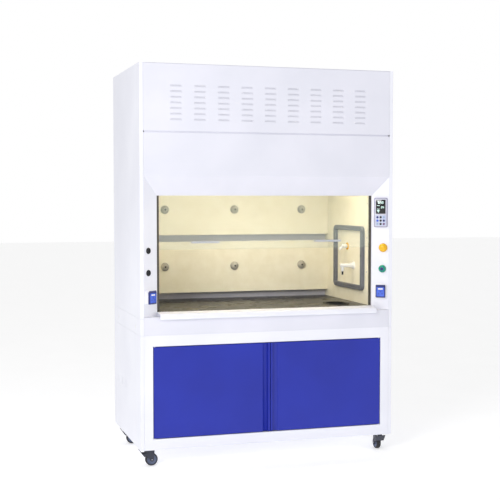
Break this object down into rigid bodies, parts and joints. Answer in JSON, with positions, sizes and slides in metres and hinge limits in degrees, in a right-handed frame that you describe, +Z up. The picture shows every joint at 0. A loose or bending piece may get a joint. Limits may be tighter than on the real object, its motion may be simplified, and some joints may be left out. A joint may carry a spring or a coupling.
{
  "type": "fume hood",
  "caption": "Walk-up laboratory fume hood on a castered base cabinet, with a balanced glass sash, baffles, cup sink, service fittings, blower and hinged cabinet doors.",
  "frame": {"origin": "on the floor, under the middle of the whole outline", "axes": "+X to the user's right, +Y from the front to the back, +Z up"},
  "size_m": [1.483, 0.824, 2.236],
  "materials": {
    "shell_enamel": "smooth white powder coat on folded steel",
    "door_enamel": "satin blue powder coat",
    "worktop_resin": "polished black epoxy resin",
    "liner_board": "cream solid laminate, satin",
    "sink_polypropylene": "moulded black polypropylene",
    "gasket_rubber": "extruded grey rubber",
    "baffle_knob_plastic": "moulded dark plastic",
    "gas_knob_plastic": "moulded yellow plastic",
    "water_knob_plastic": "moulded green plastic",
    "socket_plastic": "moulded white plastic",
    "lid_plastic": "moulded translucent blue plastic",
    "control_plastic": "moulded light grey case with a printed membrane",
    "plug_plastic": "moulded black and white plastic",
    "fitting_coating": "white coated brass",
    "sash_safety_glass": "clear safety glass with a faint green edge",
    "track_aluminium": "dark anodised aluminium",
    "handle_aluminium": "light anodised aluminium",
    "zinc_steel": "zinc-plated pressed steel",
    "caster_tyre": "moulded dark tyre on a grey hub",
    "weight_steel": "painted flat steel bar",
    "cable_steel": "stranded steel cable",
    "lamp_plastic": "frosted lens in a white housing",
    "duct_polypropylene": "welded grey polypropylene",
    "motor_aluminium": "cast aluminium motor case"
  },
  "bodies": {
    "cabinet": {"base_sides": "shell_enamel", "base_back": "shell_enamel", "base_floor": "shell_enamel", "base_face_frame": "shell_enamel", "caster_plates": "zinc_steel", "hood_sides": "shell_enamel", "hood_back": "shell_enamel", "hood_top": "shell_enamel", "louvre_panel": "shell_enamel", "front_fascia": "shell_enamel", "front_posts": "shell_enamel", "apron": "shell_enamel", "airfoil_sill": "shell_enamel", "worktop": "worktop_resin", "worktop_rails": "zinc_steel", "cup_sink": "sink_polypropylene", "left_liner": "liner_board", "right_liner": "liner_board", "rear_wall": "liner_board", "chamber_ceiling": "liner_board", "lamp_unit": "lamp_plastic", "upper_baffle": "liner_board", "lower_baffle": "liner_board", "baffle_knobs": "baffle_knob_plastic", "window_gasket": "gasket_rubber", "access_panel": "liner_board", "gas_nozzle": "fitting_coating", "water_tap": "fitting_coating", "sash_tracks": "track_aluminium", "control_panel": "control_plastic", "socket_bodies": "socket_plastic", "hole_plugs": "plug_plastic", "blower_housing": "duct_polypropylene", "blower_motor": "motor_aluminium", "sash_cables": "cable_steel"},
    "sash": {"sash_glass": "sash_safety_glass", "sash_handles": "handle_aluminium", "sash_top_rail": "track_aluminium"},
    "counterweight": {"counterweight": "weight_steel"},
    "front_shaft": {"front_pulley_shaft": "zinc_steel"},
    "rear_shaft": {"rear_pulley_shaft": "zinc_steel"},
    "left_door": {"left_door": "door_enamel"},
    "right_door": {"right_door": "door_enamel"},
    "left_lid": {"left_socket_lid": "lid_plastic"},
    "right_lid": {"right_socket_lid": "lid_plastic"},
    "gas_knob": {"gas_knob": "gas_knob_plastic"},
    "water_knob": {"water_knob": "water_knob_plastic"},
    "blower_wheel": {"blower_wheel": "duct_polypropylene"},
    "front_left_fork": {"front_left_caster_fork": "zinc_steel"},
    "front_left_wheel": {"front_left_caster_wheel": "caster_tyre"},
    "front_left_pedal": {"front_left_brake_pedal": "zinc_steel"},
    "front_right_fork": {"front_right_caster_fork": "zinc_steel"},
    "front_right_wheel": {"front_right_caster_wheel": "caster_tyre"},
    "front_right_pedal": {"front_right_brake_pedal": "zinc_steel"},
    "rear_left_fork": {"rear_left_caster_fork": "zinc_steel"},
    "rear_left_wheel": {"rear_left_caster_wheel": "caster_tyre"},
    "rear_left_pedal": {"rear_left_brake_pedal": "zinc_steel"},
    "rear_right_fork": {"rear_right_caster_fork": "zinc_steel"},
    "rear_right_wheel": {"rear_right_caster_wheel": "caster_tyre"},
    "rear_right_pedal": {"rear_right_brake_pedal": "zinc_steel"}
  },
  "joints": [
    {"name": "sash_slide", "type": "slide", "parent": "cabinet", "child": "sash", "axis": [0, 0, 1], "range_m": [-0.338, 0.235], "deforming": ["sash_cables"]},
    {"name": "counterweight_slide", "type": "slide", "parent": "cabinet", "child": "counterweight", "axis": [0, 0, 1], "range_m": [-0.235, 0.338]},
    {"name": "front_pulley_turn", "type": "hinge", "parent": "cabinet", "child": "front_shaft", "pos_m": [0, -0.2922, 2.14], "axis": [1, 0, 0], "range_deg": [-450, 645]},
    {"name": "rear_pulley_turn", "type": "hinge", "parent": "cabinet", "child": "rear_shaft", "pos_m": [0, 0.3677, 2.14], "axis": [1, 0, 0], "range_deg": [-450, 645]},
    {"name": "left_door_hinge", "type": "hinge", "parent": "cabinet", "child": "left_door", "pos_m": [-0.6605, -0.3825, 0.4095], "axis": [0, 0, -1], "range_deg": [0, 100]},
    {"name": "right_door_hinge", "type": "hinge", "parent": "cabinet", "child": "right_door", "pos_m": [0.6605, -0.3825, 0.4095], "axis": [0, 0, 1], "range_deg": [0, 100]},
    {"name": "left_lid_hinge", "type": "hinge", "parent": "cabinet", "child": "left_lid", "pos_m": [-0.6713, -0.38173, 0.9645], "axis": [-0.8321, -0.5547, 0], "range_deg": [0, 100]},
    {"name": "right_lid_hinge", "type": "hinge", "parent": "cabinet", "child": "right_lid", "pos_m": [0.6713, -0.38173, 0.9645], "axis": [-0.8321, 0.5547, 0], "range_deg": [0, 100]},
    {"name": "gas_knob_turn", "type": "hinge", "parent": "cabinet", "child": "gas_knob", "pos_m": [0.69171, -0.36914, 1.1825], "axis": [-0.5547, -0.8321, 0], "range_deg": [0, 90]},
    {"name": "water_knob_turn", "type": "hinge", "parent": "cabinet", "child": "water_knob", "pos_m": [0.68838, -0.36692, 1.0605], "axis": [-0.5547, -0.8321, 0], "range_deg": [0, 720]},
    {"name": "blower_spin", "type": "hinge", "parent": "cabinet", "child": "blower_wheel", "pos_m": [-0.178, 0.112, 1.907], "axis": [0, 1, 0], "continuous": true},
    {"name": "front_left_swivel", "type": "hinge", "parent": "cabinet", "child": "front_left_fork", "pos_m": [-0.682, -0.328, 0.08], "axis": [0, 0, 1], "continuous": true},
    {"name": "front_left_roll", "type": "hinge", "parent": "front_left_fork", "child": "front_left_wheel", "pos_m": [-0.67, -0.328, 0.035], "axis": [0, 1, 0], "continuous": true},
    {"name": "front_left_brake", "type": "hinge", "parent": "front_left_fork", "child": "front_left_pedal", "pos_m": [-0.699, -0.328, 0.064], "axis": [0, -1, 0], "range_deg": [0, 20]},
    {"name": "front_right_swivel", "type": "hinge", "parent": "cabinet", "child": "front_right_fork", "pos_m": [0.682, -0.328, 0.08], "axis": [0, 0, 1], "continuous": true},
    {"name": "front_right_roll", "type": "hinge", "parent": "front_right_fork", "child": "front_right_wheel", "pos_m": [0.682, -0.316, 0.035], "axis": [-1, 0, 0], "continuous": true},
    {"name": "front_right_brake", "type": "hinge", "parent": "front_right_fork", "child": "front_right_pedal", "pos_m": [0.682, -0.345, 0.064], "axis": [1, 0, 0], "range_deg": [0, 20]},
    {"name": "rear_left_swivel", "type": "hinge", "parent": "cabinet", "child": "rear_left_fork", "pos_m": [-0.682, 0.234, 0.08], "axis": [0, 0, 1], "continuous": true},
    {"name": "rear_left_roll", "type": "hinge", "parent": "rear_left_fork", "child": "rear_left_wheel", "pos_m": [-0.67, 0.234, 0.035], "axis": [0, 1, 0], "continuous": true},
    {"name": "rear_left_brake", "type": "hinge", "parent": "rear_left_fork", "child": "rear_left_pedal", "pos_m": [-0.699, 0.234, 0.064], "axis": [0, -1, 0], "range_deg": [0, 20]},
    {"name": "rear_right_swivel", "type": "hinge", "parent": "cabinet", "child": "rear_right_fork", "pos_m": [0.682, 0.234, 0.08], "axis": [0, 0, 1], "continuous": true},
    {"name": "rear_right_roll", "type": "hinge", "parent": "rear_right_fork", "child": "rear_right_wheel", "pos_m": [0.694, 0.234, 0.035], "axis": [0, 1, 0], "continuous": true},
    {"name": "rear_right_brake", "type": "hinge", "parent": "rear_right_fork", "child": "rear_right_pedal", "pos_m": [0.665, 0.234, 0.064], "axis": [0, -1, 0], "range_deg": [0, 20]}
  ],
  "couplings": [
    {"joint": "counterweight_slide", "follows": "sash_slide", "ratio": -1},
    {"joint": "front_pulley_turn", "follows": "sash_slide", "rad_per_m": -33.003},
    {"joint": "rear_pulley_turn", "follows": "sash_slide", "rad_per_m": -33.003}
  ]
}
